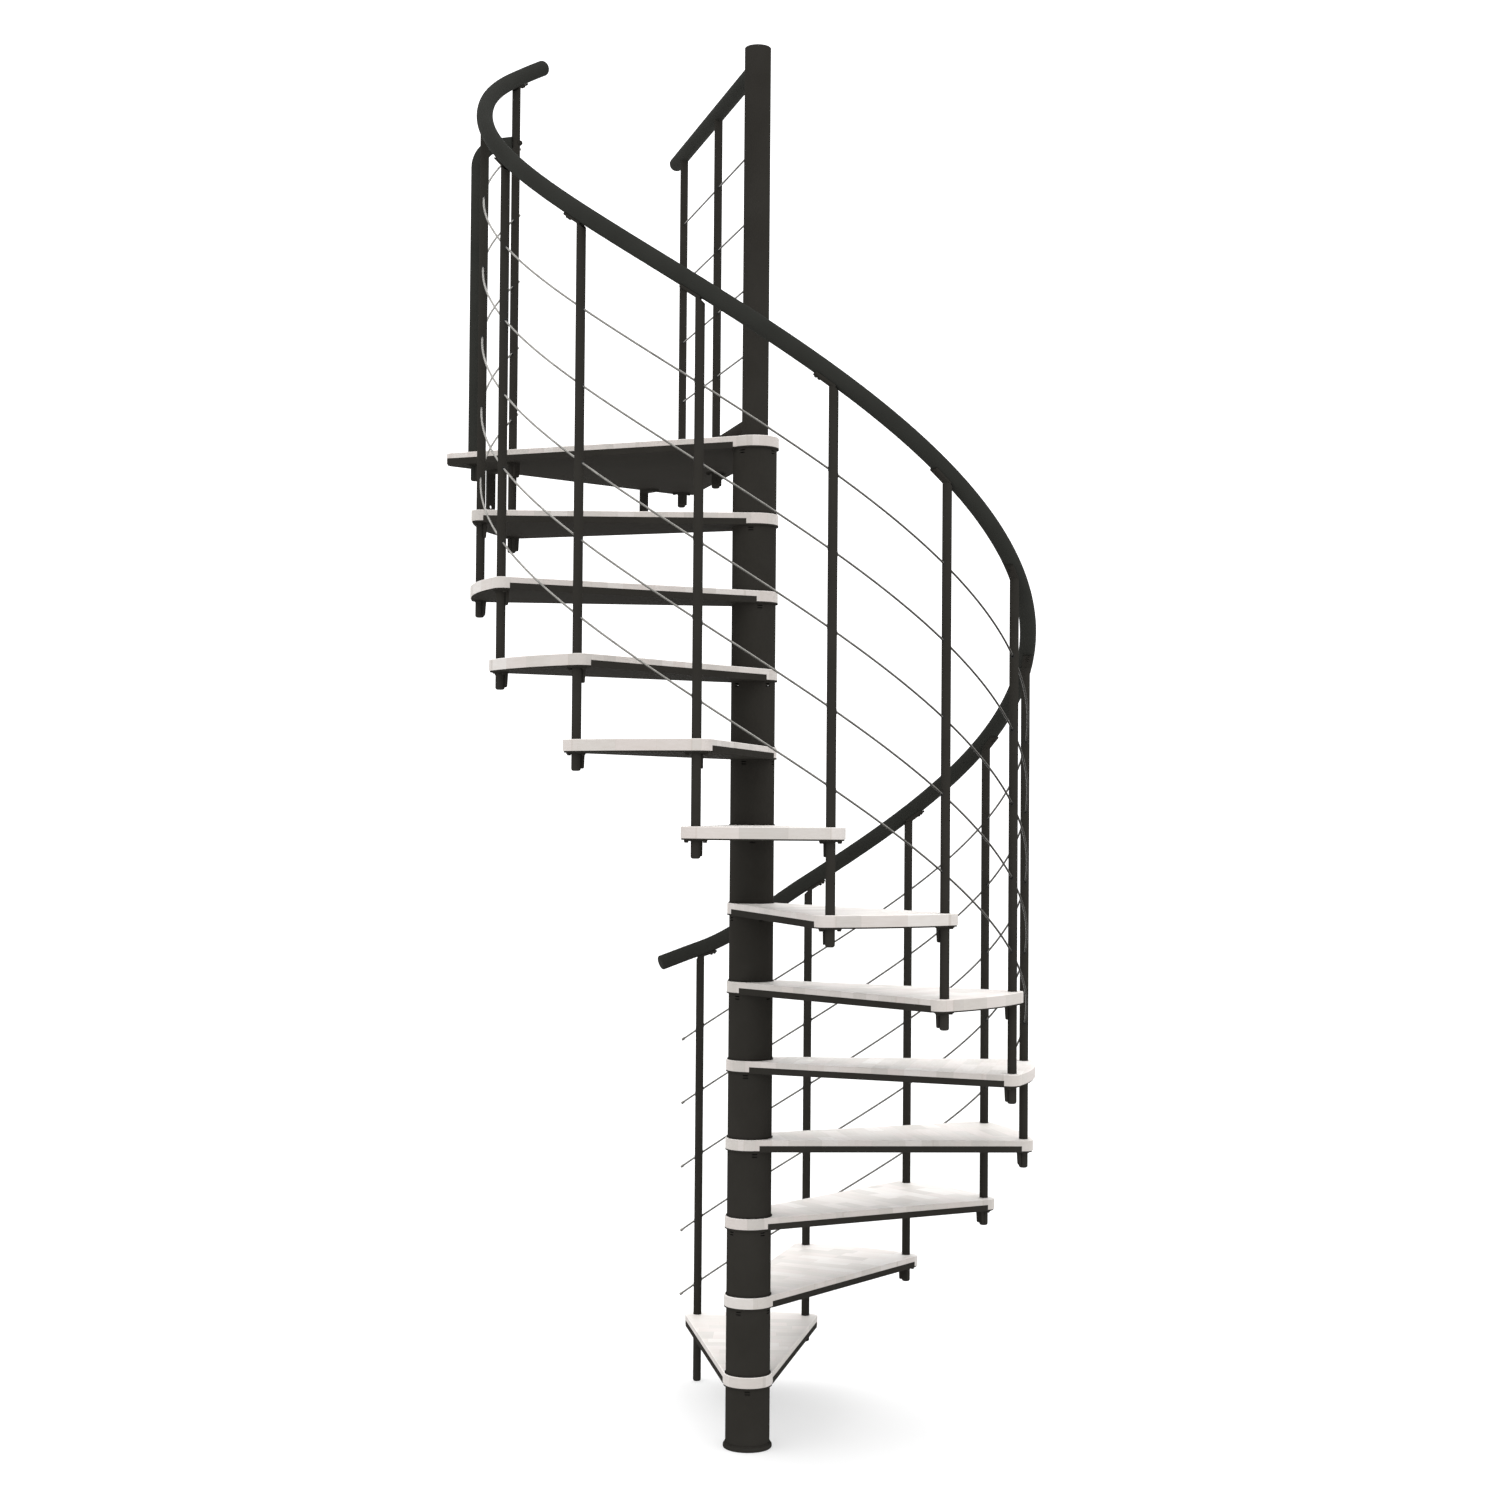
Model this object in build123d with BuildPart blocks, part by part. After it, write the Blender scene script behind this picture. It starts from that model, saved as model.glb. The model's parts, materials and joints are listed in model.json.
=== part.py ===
"""Spiral staircase: wooden treads on a steel column, with a cable railing and a landing."""

import os
from math import atan, cos, degrees, radians, sin, sqrt, tan

from build123d import *

# Flight
tread_count = 12
step_angle = 25.3
start_angle = 90.0
first_rise = 208.0
rise = 220.0

# Column
flange_diameter = 138.0
flange_height = 14.0
flange_rim_radius = 5.0
anchor_circle = 98.0
anchor_count = 4
anchor_hole_diameter = 11.0
pole_diameter = 75.0
pole_wall = 4.0
pole_above_landing = 1115.0
pole_clearance = 0.3
weld_gap = 0.2
cap_height = 5.0
cap_edge = 1.5
sleeve_diameter = 125.0
sleeve_wall = 3.0
lip_diameter = 130.0
lip_height = 3.0
slot_count = 4
slot_length = 16.0
slot_height = 3.0
slot_depth = 7.0
slot_row_gap = 7.0

# Treads
tread_radius = 800.0
tread_half_width = 212.0
tread_corner_radius = 28.0
hub_diameter = 137.0
board_thickness = 30.0
board_edge_radius = 2.5
sheet_thickness = 4.0
flange_rise = 14.0
flange_start = 12.0
flange_end_gap = 34.0
sheet_inset = 3.0

# Landing
landing_half_turn = 26.8
landing_overhang = 71.0
landing_corner_radius = 32.0
landing_edge_gap = 46.0

# Railing
baluster_inset = 26.0
baluster_diameter = 25.0
baluster_wall = 2.5
baluster_clearance = 0.3
foot_depth = 40.0
plug_height = 7.0
plug_edge = 6.0
rail_diameter = 46.0
rail_height = 1140.0
rail_past_saddle = 3.0
rail_start_run = 124.0
rail_start_lift = 43.0
first_rail_lift = 7.0
rail_start_slope_share = 0.58
rail_end_run = 142.0
rail_end_drop = 42.0
last_rail_drop = 24.0
rail_end_slope_share = 0.82
rail_cap_height = 7.0
rail_cap_edge = 6.0
saddle_length = 62.0
saddle_width = 24.0
saddle_thickness = 5.0
saddle_downhill = 17.0
saddle_gap = 0.8

# Baluster holders
holder_plate_length = 60.0
holder_plate_width = 28.0
holder_plate_thickness = 3.0
holder_lug_width = 29.0
holder_lug_depth = 41.0
holder_lug_reach = 17.5
holder_lug_foot_reach = 15.0
holder_lug_start = 8.0
holder_lug_corner = 5.0

# Cables
cable_count = 5
cable_diameter = 6.0
cable_low_height = 100.0
cable_high_height = 896.0
cable_hole_diameter = 7.0
cable_start_length = 58.0
cable_end_length = 22.0
cable_end_diameter = 8.5
cable_end_height = 10.0
cable_end_edge = 1.2

# Guard across the landing
guard_height = 1067.0
guard_near = 467.0
guard_far_offset = 156.0
guard_rail_past = 115.0
guard_cable_count = 4
guard_cable_low_height = 260.0
guard_cable_high_height = 838.0
guard_bar_diameter = 46.0
guard_bar_height = 45.0
guard_bar_past = 30.0

# Post at the landing's outer corner
end_post_offset = 126.0
end_post_height = 923.0
end_post_diameter = 42.0
end_post_bend = 60.0

# Fixing plates under the landing's outer edge
lug_width = 30.0
lug_thickness = 8.0
lug_drop = 120.0
lug_corner_radius = 10.0
lug_hole_diameter = 11.0
lug_leg = 60.0
left_lug_share = 0.61
right_lug_share = -0.6

landing_number = tread_count + 1
baluster_circle = tread_radius - baluster_inset
end_post_radius = baluster_circle + end_post_offset
guard_far = baluster_circle + guard_far_offset
climb = atan(rise / (baluster_circle * radians(step_angle)))
run_pitch = rise * 360 / step_angle
under = board_thickness + sheet_thickness
pole_radius = pole_diameter / 2
sleeve_radius = sleeve_diameter / 2
hub_radius = hub_diameter / 2
baluster_radius = baluster_diameter / 2
rail_radius = rail_diameter / 2
saddle_radius = rail_radius + saddle_gap
cable_radius = cable_diameter / 2

os.makedirs("parts", exist_ok=True)


def tread_top(number):
    """Height of the walking surface of a tread, the landing being the last."""
    return first_rise + (number - 1) * rise


def tread_angle(number):
    """Direction of a tread's centre line, seen from above."""
    return start_angle - (number - 1) * step_angle


def baluster_angle(number):
    """Direction of the baluster at a tread's nosing."""
    return tread_angle(number) + step_angle / 2


def turned_plane(angle, height):
    """Level plane whose X axis points away from the column in a direction."""
    return Plane.XY.offset(height).rotated((0, 0, angle))


def polar(radius, angle, height):
    """Point at a distance and direction from the column."""
    return Vector(radius * cos(radians(angle)), radius * sin(radians(angle)), height)


def uphill(angle, slope=climb):
    """Direction of the railing's climb where it passes a baluster."""
    level = cos(slope)
    return Vector(level * sin(radians(angle)), -level * cos(radians(angle)), sin(slope))


def turn_over(length):
    """Angle that a level length covers on the baluster circle."""
    return degrees(length / baluster_circle)


def rail_slope(number):
    """Climb of the handrail over a baluster, eased at the first and the last."""
    return climb * {1: rail_start_slope_share, landing_number: rail_end_slope_share}.get(number, 1)


def rail_way(number):
    """Direction of the handrail over a baluster."""
    return uphill(baluster_angle(number), rail_slope(number))


def rail_center(number):
    """Centre of the handrail over a baluster."""
    ease = {1: first_rail_lift, landing_number: -last_rail_drop}.get(number, 0)
    return polar(baluster_circle, baluster_angle(number), tread_top(number) + rail_height + ease)


def even_heights(low, high, count):
    """Heights spread evenly from a lowest to a highest one."""
    return [low + (high - low) * index / (count - 1) for index in range(count)]


def cable_points(number):
    """Where the cables pass through the baluster at a tread's nosing."""
    heights = even_heights(cable_low_height, cable_high_height, cable_count)
    return [polar(baluster_circle, baluster_angle(number), tread_top(number) + height) for height in heights]


def save(piece, name):
    """Labels a finished piece and writes it to its own file."""
    piece.label = name
    export_step(piece, f"parts/{name}.step")


def helix_at(angle, height, sweep_angle):
    """Left-hand helix above the baluster circle, from a direction and height."""
    coil = Helix(run_pitch, run_pitch * sweep_angle / 360, baluster_circle, lefthand=True, mode=Mode.PRIVATE)
    return coil.rotate(Axis.Z, angle).translate((0, 0, height))


def round_bar(path, radius, steady=True):
    """Round bar along one smooth path, its section held steady on a helix."""
    with BuildPart() as bar:
        with BuildLine() as line:
            add(path)
        with BuildSketch(Plane(line.line @ 0, z_dir=line.line % 0)):
            Circle(radius)
        sweep(is_frenet=steady)
    return bar.part


def wedge_outline(reach, half_width, outer_radius, corner_radius, inset):
    """Hub ring and wedge of a tread, pointing along X; a radius of zero gives a straight outer edge."""
    with BuildSketch() as outline:
        with BuildLine():
            Polyline((reach, half_width), (0, hub_radius), (0, -hub_radius), (reach, -half_width))
            if outer_radius:
                ThreePointArc((reach, -half_width), (outer_radius, 0), (reach, half_width))
            else:
                Line((reach, -half_width), (reach, half_width))
        make_face()
        fillet(outline.vertices().group_by(Axis.X)[-1], corner_radius)
        if inset:
            offset(amount=-inset)
        Circle(hub_radius)
    return outline.sketch


class Deck:
    """Outline, side flanges and baluster places of a tread or of the landing."""

    def __init__(self, reach, half_width, outer_radius, corner_radius, spots):
        self.outline = wedge_outline(reach, half_width, outer_radius, corner_radius, 0)
        self.sheet = wedge_outline(reach, half_width, outer_radius, corner_radius, sheet_inset)
        self.spots = spots
        side = Vector(reach, half_width - hub_radius)
        along = side.normalized()
        self.side_angle = degrees(atan((half_width - hub_radius) / reach))
        self.flange_length = side.length - flange_start - flange_end_gap
        middle = along * (flange_start + self.flange_length / 2)
        self.middle_x = middle.X + along.Y * sheet_thickness / 2
        self.middle_y = hub_radius + middle.Y - along.X * sheet_thickness / 2

    def flanges(self):
        """Two strips along the side edges, as thick as the sheet."""
        with BuildSketch() as strips:
            for side in (1, -1):
                with Locations((self.middle_x, side * self.middle_y)):
                    Rectangle(self.flange_length, sheet_thickness, rotation=side * self.side_angle)
        return strips.sketch


def build_sleeve(number):
    """Spacer sleeve under a tread's hub, with a lip at its foot and slots below its top."""
    foot = flange_height if number == 1 else tread_top(number - 1)
    top = tread_top(number) - under
    slot_planes = [
        Plane((0, 0, top - depth), x_dir=polar(1, angle + 90, 0), z_dir=polar(1, angle, 0))
        for depth in (slot_depth, slot_depth + slot_row_gap)
        for angle in even_heights(tread_angle(number), tread_angle(number) + 360, slot_count + 1)[:slot_count]
    ]
    with BuildPart() as sleeve:
        with BuildSketch(Plane.XY.offset(foot)):
            Circle(sleeve_radius)
            Circle(sleeve_radius - sleeve_wall, mode=Mode.SUBTRACT)
        extrude(amount=top - foot)
        with BuildSketch(Plane.XY.offset(foot)):
            Circle(lip_diameter / 2)
            Circle(sleeve_radius - sleeve_wall, mode=Mode.SUBTRACT)
        extrude(amount=lip_height)
        with BuildSketch(*slot_planes):
            SlotOverall(slot_length, slot_height)
        extrude(amount=sleeve_diameter, mode=Mode.SUBTRACT)
    return sleeve.part


def build_board(deck, plane):
    """Wooden board with a soft upper edge, rebated below along its sides for the tray's flanges."""
    with BuildPart() as board:
        with BuildSketch(plane):
            add(deck.outline)
            Circle(pole_radius + pole_clearance, mode=Mode.SUBTRACT)
            with Locations(*deck.spots):
                Circle(baluster_radius + baluster_clearance, mode=Mode.SUBTRACT)
        extrude(amount=-board_thickness)
        fillet(board.faces().sort_by(Axis.Z)[-1].outer_wire().edges(), board_edge_radius)
        with BuildSketch(plane.offset(-board_thickness)):
            add(deck.flanges())
        extrude(amount=flange_rise, mode=Mode.SUBTRACT)
    return board.part


def build_tray(deck, plane):
    """Sheet steel tray under a board, with a flange up each side."""
    with BuildPart() as tray:
        with BuildSketch(plane.offset(-under)):
            add(deck.sheet)
            add(deck.flanges())
            Circle(pole_radius + pole_clearance, mode=Mode.SUBTRACT)
            with Locations(*deck.spots):
                Circle(baluster_radius + baluster_clearance, mode=Mode.SUBTRACT)
        extrude(amount=sheet_thickness)
        with BuildSketch(plane.offset(-board_thickness)):
            add(deck.flanges())
        extrude(amount=flange_rise)
    return tray.part


def build_holder(spot_plane):
    """Cast holder under a tread: a screw plate and a lug that hugs the baluster on the column's side."""
    side_plane = Plane(spot_plane.origin, x_dir=spot_plane.x_dir, z_dir=-spot_plane.y_dir)
    with BuildPart() as holder:
        with BuildSketch(spot_plane):
            SlotOverall(holder_plate_length, holder_plate_width, rotation=90)
        extrude(amount=-holder_plate_thickness)
        with BuildSketch(side_plane) as lug_side:
            with BuildLine():
                Polyline(
                    (-holder_lug_start, 0),
                    (-holder_lug_reach, 0),
                    (-holder_lug_foot_reach, -holder_lug_depth),
                    (-holder_lug_start, -holder_lug_depth),
                    close=True,
                )
            make_face()
            fillet(lug_side.vertices().group_by(Axis.Y)[0].sort_by(Axis.X)[0], holder_lug_corner)
        extrude(amount=holder_lug_width / 2, both=True)
        with BuildSketch(spot_plane):
            Circle(baluster_radius + baluster_clearance)
        extrude(amount=-holder_lug_depth, mode=Mode.SUBTRACT)
    return holder.part


def baluster_foot(number):
    """Height of the lower end of a baluster's tube, the first one standing on the floor."""
    return plug_height if number == 1 else tread_top(number - 1) - under - foot_depth


def build_baluster(number):
    """Baluster tube with slanted cable holes, its top hollowed to the saddle below the handrail."""
    angle = baluster_angle(number)
    foot = baluster_foot(number)
    top = rail_center(number)
    with BuildPart() as baluster:
        with BuildSketch(Plane(polar(baluster_circle, angle, foot))):
            Circle(baluster_radius)
            Circle(baluster_radius - baluster_wall, mode=Mode.SUBTRACT)
        extrude(amount=top.Z - foot)
        with BuildSketch(*[Plane(point, z_dir=uphill(angle)) for point in cable_points(number)]):
            Circle(cable_hole_diameter / 2)
        extrude(amount=baluster_diameter, both=True, mode=Mode.SUBTRACT)
        with BuildSketch(Plane(top, z_dir=rail_way(number))):
            Circle(saddle_radius + saddle_thickness + weld_gap)
        extrude(amount=saddle_length, both=True, mode=Mode.SUBTRACT)
    return baluster.part


def build_saddle(number):
    """Saddle on a baluster's top, round the underside of the handrail and reaching uphill."""
    way = rail_way(number)
    start = rail_center(number) - way * saddle_downhill
    with BuildPart() as saddle:
        with BuildSketch(Plane(start, x_dir=polar(1, baluster_angle(number), 0), z_dir=way)):
            Circle(saddle_radius + saddle_thickness)
            Circle(saddle_radius, mode=Mode.SUBTRACT)
            with Locations((0, -saddle_radius)):
                Rectangle(saddle_width, saddle_radius, mode=Mode.INTERSECT)
        extrude(amount=saddle_length)
    return saddle.part


def round_end(point, direction, radius, height, edge):
    """Short round end piece with a softened rim."""
    with BuildPart() as end:
        with BuildSketch(Plane(point, z_dir=direction)):
            Circle(radius)
        extrude(amount=height)
        fillet(end.faces().sort_by(Axis(point, direction))[-1].edges(), edge)
    return end.part


# Base flange, bolted to the floor under the first sleeve
with BuildPart() as base_flange:
    with BuildSketch():
        Circle(flange_diameter / 2)
        with PolarLocations(anchor_circle / 2, anchor_count):
            Circle(anchor_hole_diameter / 2, mode=Mode.SUBTRACT)
    extrude(amount=flange_height)
    fillet(base_flange.edges().filter_by(GeomType.CIRCLE).sort_by(SortBy.RADIUS)[-2:], flange_rim_radius)
save(base_flange.part, "base_flange")

# Centre pole, from the base flange to the post above the landing
pole_top = tread_top(landing_number) + pole_above_landing
with BuildPart() as center_pole:
    with BuildSketch(Plane.XY.offset(flange_height)):
        Circle(pole_radius)
        Circle(pole_radius - pole_wall, mode=Mode.SUBTRACT)
    extrude(amount=pole_top - flange_height)
save(center_pole.part, "center_pole")

# Flat cap on the post
with BuildPart() as post_cap:
    with BuildSketch(Plane.XY.offset(pole_top)):
        Circle(pole_radius)
    extrude(amount=cap_height)
    chamfer(post_cap.edges().group_by(Axis.Z)[-1], cap_edge)
save(post_cap.part, "post_cap")

# Spacer sleeves between the tread hubs
with BuildPart() as spacer_sleeves:
    add([build_sleeve(number) for number in range(1, landing_number + 1)])
save(spacer_sleeves.part, "spacer_sleeves")

# Treads
half_step = radians(step_angle / 2)
nosing_spot = (baluster_circle * cos(half_step), baluster_circle * sin(half_step))
back_spot = (nosing_spot[0], -nosing_spot[1])
tread_reach = sqrt(tread_radius**2 - tread_half_width**2)
tread = Deck(tread_reach, tread_half_width, tread_radius, tread_corner_radius, (nosing_spot, back_spot))
for number in range(1, tread_count + 1):
    tread_plane = turned_plane(tread_angle(number), tread_top(number))
    save(build_board(tread, tread_plane), f"tread_board_{number:02d}")
    save(build_tray(tread, tread_plane), f"tread_tray_{number:02d}")

# Landing, with the guard along its far side
landing_height = tread_top(landing_number)
landing_angle = baluster_angle(landing_number) - landing_half_turn
guard_angle = landing_angle - landing_half_turn
half_turn = radians(landing_half_turn)
landing_depth = end_post_radius * cos(half_turn) + landing_overhang
landing_half_width = landing_depth * tan(half_turn) + landing_edge_gap / cos(half_turn)
landing_spots = [
    (radius * cos(half_turn), side * radius * sin(half_turn))
    for radius, side in ((baluster_circle, 1), (end_post_radius, 1), (guard_near, -1), (guard_far, -1))
]
landing = Deck(landing_depth, landing_half_width, 0, landing_corner_radius, landing_spots)
landing_plane = turned_plane(landing_angle, landing_height)
save(build_board(landing, landing_plane), "landing_board")
save(build_tray(landing, landing_plane), "landing_tray")

# Balusters, each through the nosing of one tread and the back of the tread below
with BuildPart() as balusters:
    add([build_baluster(number) for number in range(1, landing_number + 1)])
save(balusters.part, "balusters")

# Handrail: a helix from the second baluster to the last but one, easing off towards both ends
flight_turn = tread_count * step_angle
rail_start_turn = turn_over((saddle_downhill + rail_past_saddle) * cos(climb))
rail_end_turn = turn_over((saddle_length - saddle_downhill + rail_past_saddle) * cos(climb))
rail_path = helix_at(
    baluster_angle(2) + rail_start_turn,
    rail_center(2).Z - rise * rail_start_turn / step_angle,
    rail_start_turn + flight_turn - 2 * step_angle + rail_end_turn,
)

foot_angle = baluster_angle(1) + turn_over(rail_start_run)
foot_way = uphill(foot_angle, rail_slope(1))
foot_height = tread_top(1) + rail_height - rail_start_run * tan(climb) + rail_start_lift
foot_end = polar(baluster_circle, foot_angle, foot_height)
foot_path = Spline(
    foot_end,
    rail_center(1),
    rail_path @ 0,
    tangents=(foot_way, rail_way(1), rail_path % 0),
    mode=Mode.PRIVATE,
)

head_angle = baluster_angle(landing_number) - turn_over(rail_end_run)
head_way = uphill(head_angle, rail_slope(landing_number))
head_height = tread_top(landing_number) + rail_height + rail_end_run * tan(climb) - rail_end_drop
head_end = polar(baluster_circle, head_angle, head_height)
head_path = Spline(
    rail_path @ 1,
    rail_center(landing_number),
    head_end,
    tangents=(rail_path % 1, rail_way(landing_number), head_way),
    mode=Mode.PRIVATE,
)

with BuildPart() as handrail:
    add(round_bar(rail_path, rail_radius))
    add(round_bar(foot_path, rail_radius, steady=False))
    add(round_bar(head_path, rail_radius, steady=False))
save(handrail.part, "handrail")

with BuildPart() as handrail_brackets:
    add([build_saddle(number) for number in range(1, landing_number + 1)])
save(handrail_brackets.part, "handrail_brackets")

# Cables below the handrail, as helices through the holes of the balusters
cable_start_turn = turn_over(cable_start_length * cos(climb))
cable_end_turn = turn_over(cable_end_length * cos(climb))
cable_start = baluster_angle(1) + cable_start_turn
cable_paths = [
    helix_at(
        cable_start,
        point.Z - rise * cable_start_turn / step_angle,
        cable_start_turn + flight_turn + cable_end_turn,
    )
    for point in cable_points(1)
]
with BuildPart() as railing_cables:
    add([round_bar(path, cable_radius) for path in cable_paths])
save(railing_cables.part, "railing_cables")

# Guard: a straight rail, bar, balusters and cables from the post along the landing's far side
guard_out = polar(1, guard_angle, 0)
guard_spots = [polar(radius, guard_angle, landing_height) for radius in (guard_near, guard_far)]
guard_rail_height = landing_height + guard_height
guard_cable_heights = [
    landing_height + height
    for height in even_heights(guard_cable_low_height, guard_cable_high_height, guard_cable_count)
]
guard_rail_end = polar(guard_far + guard_rail_past, guard_angle, guard_rail_height)


def guard_plane(height):
    """Upright plane at the column, facing along the guard."""
    return Plane((0, 0, height), z_dir=guard_out)


with BuildPart() as guard_handrail:
    with BuildSketch(guard_plane(guard_rail_height)):
        Circle(rail_radius)
    extrude(amount=guard_far + guard_rail_past)
    with BuildSketch(Plane.XY.offset(guard_rail_height)):
        Circle(pole_radius + weld_gap)
    extrude(amount=rail_diameter, both=True, mode=Mode.SUBTRACT)
save(guard_handrail.part, "guard_handrail")

with BuildPart() as guard_balusters:
    with BuildSketch(Plane.XY.offset(landing_height - under - foot_depth)):
        with Locations(*[(spot.X, spot.Y) for spot in guard_spots]):
            Circle(baluster_radius)
            Circle(baluster_radius - baluster_wall, mode=Mode.SUBTRACT)
    extrude(amount=under + foot_depth + guard_height)
    with BuildSketch(guard_plane(guard_rail_height)):
        Circle(rail_radius + weld_gap)
    extrude(amount=guard_far + guard_rail_past, mode=Mode.SUBTRACT)
    with BuildSketch(*[guard_plane(height) for height in guard_cable_heights]):
        Circle(cable_hole_diameter / 2)
    extrude(amount=guard_far + guard_rail_past, mode=Mode.SUBTRACT)
save(guard_balusters.part, "guard_balusters")

with BuildPart() as guard_bottom_rail:
    with BuildSketch(guard_plane(landing_height + guard_bar_height)):
        Circle(guard_bar_diameter / 2)
    extrude(amount=guard_far + guard_bar_past)
    with BuildSketch(Plane.XY.offset(landing_height)):
        Circle(pole_radius + weld_gap)
        with Locations(*[(spot.X, spot.Y) for spot in guard_spots]):
            Circle(baluster_radius + weld_gap)
    extrude(amount=guard_height, mode=Mode.SUBTRACT)
save(guard_bottom_rail.part, "guard_bottom_rail")

with BuildPart() as guard_cables:
    with BuildSketch(*[guard_plane(height).offset(pole_radius + weld_gap) for height in guard_cable_heights]):
        Circle(cable_radius)
    extrude(amount=guard_far + cable_end_length - pole_radius - weld_gap)
save(guard_cables.part, "guard_cables")

# End pieces of the handrails and cables
rail_ends = [
    (foot_end, foot_way * -1),
    (head_end, head_way),
    (guard_rail_end, guard_out),
]
with BuildPart() as handrail_caps:
    add([round_end(point, way, rail_radius, rail_cap_height, rail_cap_edge) for point, way in rail_ends])
save(handrail_caps.part, "handrail_caps")

cable_end_places = [(path @ 0, path % 0 * -1) for path in cable_paths]
cable_end_places += [(path @ 1, path % 1) for path in cable_paths]
cable_end_places += [
    (polar(guard_far + cable_end_length, guard_angle, height), guard_out) for height in guard_cable_heights
]
with BuildPart() as cable_ends:
    add(
        [
            round_end(point, way, cable_end_diameter / 2, cable_end_height, cable_end_edge)
            for point, way in cable_end_places
        ]
    )
save(cable_ends.part, "cable_ends")

# Post at the landing's outer corner, bent over to the last baluster
post_angle = baluster_angle(landing_number)
post_plane = Plane(
    polar(0, post_angle, landing_height), x_dir=polar(1, post_angle, 0), z_dir=(polar(1, post_angle - 90, 0))
)
with BuildPart() as landing_end_post:
    with BuildLine(post_plane) as post_line:
        FilletPolyline(
            (end_post_radius, 0),
            (end_post_radius, end_post_height),
            (baluster_circle + baluster_radius / 2, end_post_height),
            radius=end_post_bend,
        )
    with BuildSketch(Plane(post_line.line @ 0, z_dir=post_line.line % 0)):
        Circle(end_post_diameter / 2)
    sweep()
    with BuildSketch(Plane(polar(baluster_circle, post_angle, landing_height))):
        Circle(baluster_radius + weld_gap)
    extrude(amount=end_post_height + end_post_diameter, mode=Mode.SUBTRACT)
    with BuildSketch(Plane(polar(end_post_radius, post_angle, landing_height))):
        Circle(baluster_radius)
    extrude(amount=-under - foot_depth)
save(landing_end_post.part, "landing_end_post")

# Rounded plugs in the lower ends of the balusters and under the end post
plug_places = [
    polar(baluster_circle, baluster_angle(number), baluster_foot(number))
    for number in range(1, landing_number + 1)
]
for radius, angle in ((guard_near, guard_angle), (guard_far, guard_angle), (end_post_radius, post_angle)):
    plug_places.append(polar(radius, angle, landing_height - under - foot_depth))
with BuildPart() as baluster_plugs:
    down = Vector(0, 0, -1)
    add([round_end(point, down, baluster_radius, plug_height, plug_edge) for point in plug_places])
save(baluster_plugs.part, "baluster_plugs")

# Cast holders under the treads and the landing, where the balusters pass or end
holder_places = []
for number in range(1, landing_number + 1):
    nosing = polar(baluster_circle, baluster_angle(number), tread_top(number) - under)
    holder_places.append((nosing, baluster_angle(number)))
    if number > 1:
        holder_places.append((nosing - Vector(0, 0, rise), baluster_angle(number)))
for radius, angle in ((guard_near, guard_angle), (guard_far, guard_angle), (end_post_radius, post_angle)):
    holder_places.append((polar(radius, angle, landing_height - under), angle))
with BuildPart() as baluster_holders:
    add([build_holder(Plane(point, x_dir=polar(1, angle, 0))) for point, angle in holder_places])
save(baluster_holders.part, "baluster_holders")

# Fixing angles under the landing's outer edge, bolted to the upper floor
lug_plane = landing_plane.offset(-under)
with BuildPart() as landing_lugs:
    for share in (left_lug_share, right_lug_share):
        edge = lug_plane.from_local_coords((landing_depth, share * landing_half_width, 0))
        with BuildSketch(Plane(edge, x_dir=lug_plane.y_dir, z_dir=lug_plane.x_dir)):
            with Locations((0, -lug_drop / 2)):
                RectangleRounded(lug_width, lug_drop, lug_corner_radius)
            with Locations((0, -lug_thickness)):
                Rectangle(lug_width, lug_thickness * 2)
            with Locations((0, lug_hole_diameter - lug_drop)):
                Circle(lug_hole_diameter / 2, mode=Mode.SUBTRACT)
        extrude(amount=-lug_thickness)
        with BuildSketch(Plane(edge, x_dir=lug_plane.x_dir, z_dir=lug_plane.z_dir)):
            with Locations((-lug_leg / 2, 0)):
                Rectangle(lug_leg, lug_width)
        extrude(amount=-lug_thickness)
save(landing_lugs.part, "landing_lugs")
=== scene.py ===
"""Spiral staircase: finishes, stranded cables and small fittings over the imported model."""

import json
import math

import bpy
from mathutils import Matrix, Vector


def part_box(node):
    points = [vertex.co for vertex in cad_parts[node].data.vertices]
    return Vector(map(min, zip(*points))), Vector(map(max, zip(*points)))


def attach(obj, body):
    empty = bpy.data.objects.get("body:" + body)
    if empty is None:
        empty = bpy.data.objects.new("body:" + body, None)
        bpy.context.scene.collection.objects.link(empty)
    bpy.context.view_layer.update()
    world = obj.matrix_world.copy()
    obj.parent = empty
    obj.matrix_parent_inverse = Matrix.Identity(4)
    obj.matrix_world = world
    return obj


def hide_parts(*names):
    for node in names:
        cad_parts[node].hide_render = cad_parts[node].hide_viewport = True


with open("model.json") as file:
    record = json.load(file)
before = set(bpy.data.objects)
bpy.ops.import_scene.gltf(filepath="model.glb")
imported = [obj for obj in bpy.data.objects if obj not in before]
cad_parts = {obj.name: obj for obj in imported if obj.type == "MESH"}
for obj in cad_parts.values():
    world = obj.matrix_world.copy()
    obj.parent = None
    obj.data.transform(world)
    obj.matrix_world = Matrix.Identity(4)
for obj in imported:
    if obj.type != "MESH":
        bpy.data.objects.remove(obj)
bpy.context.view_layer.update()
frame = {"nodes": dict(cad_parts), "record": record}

# Flight, in metres and degrees
TREAD_COUNT = 12
LANDING = TREAD_COUNT + 1
STEP_ANGLE = 25.3
START_ANGLE = 90.0
LANDING_HALF_TURN = 26.8
FIRST_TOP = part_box("tread_board_01")[1].z
LANDING_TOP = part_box("landing_board")[1].z
RISE = (LANDING_TOP - FIRST_TOP) / TREAD_COUNT
UNDER = FIRST_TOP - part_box("tread_tray_01")[0].z

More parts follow.
